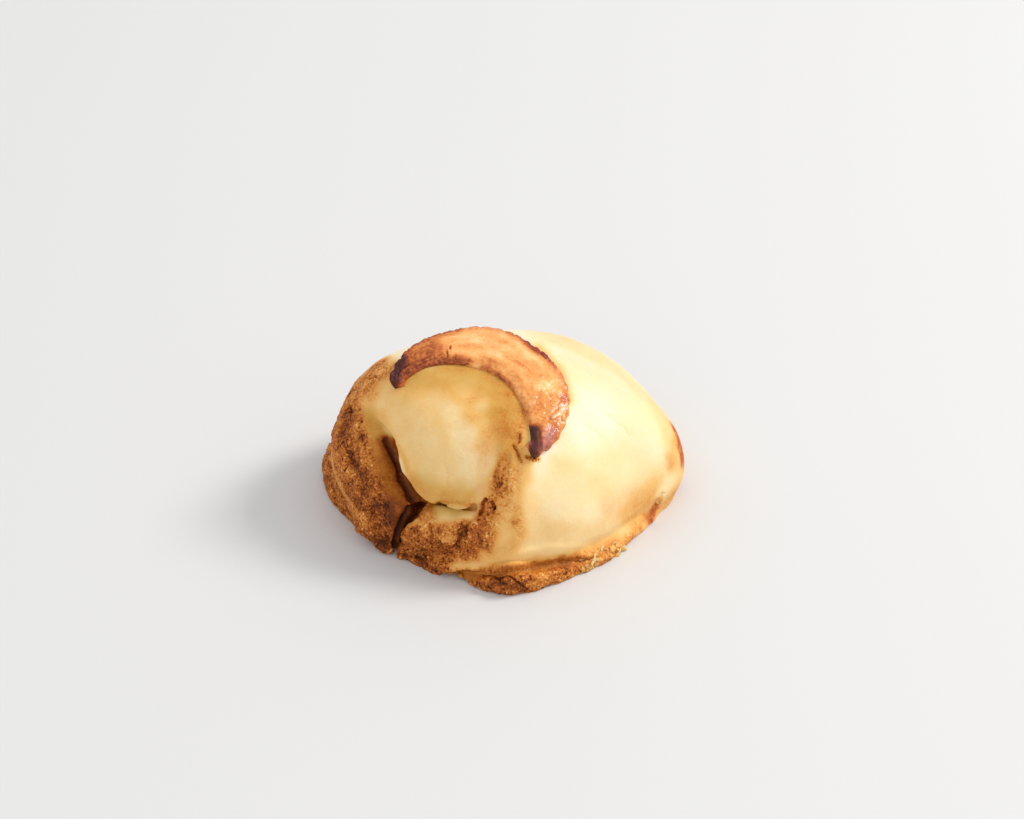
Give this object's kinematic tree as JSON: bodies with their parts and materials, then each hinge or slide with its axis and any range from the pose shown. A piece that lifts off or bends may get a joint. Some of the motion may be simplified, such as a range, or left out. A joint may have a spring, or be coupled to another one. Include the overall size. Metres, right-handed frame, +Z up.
{
  "type": "ricotta panzerotto",
  "caption": "Domed turnover of baked shortcrust pastry, folded round a puffed pocket at its front left, with an egg-glazed crescent of dough lying on its crown.",
  "frame": {"origin": "middle of the bounding box of the flat underside, where the pastry rests", "axes": "+Z up, +X along the longest side, with the folded opening towards -X and -Y"},
  "size_m": [0.1138, 0.0944, 0.056],
  "materials": {
    "baked_pastry": "dry shortcrust, pale gold on the dome and browned and rough at the folds and foot",
    "glazed_crust": "egg-glazed crust, orange brown and shiny, dark at its edge and tips"
  },
  "bodies": {
    "root": {"pastry_shell": "baked_pastry", "glazed_crescent": "glazed_crust"}
  },
  "joints": []
}
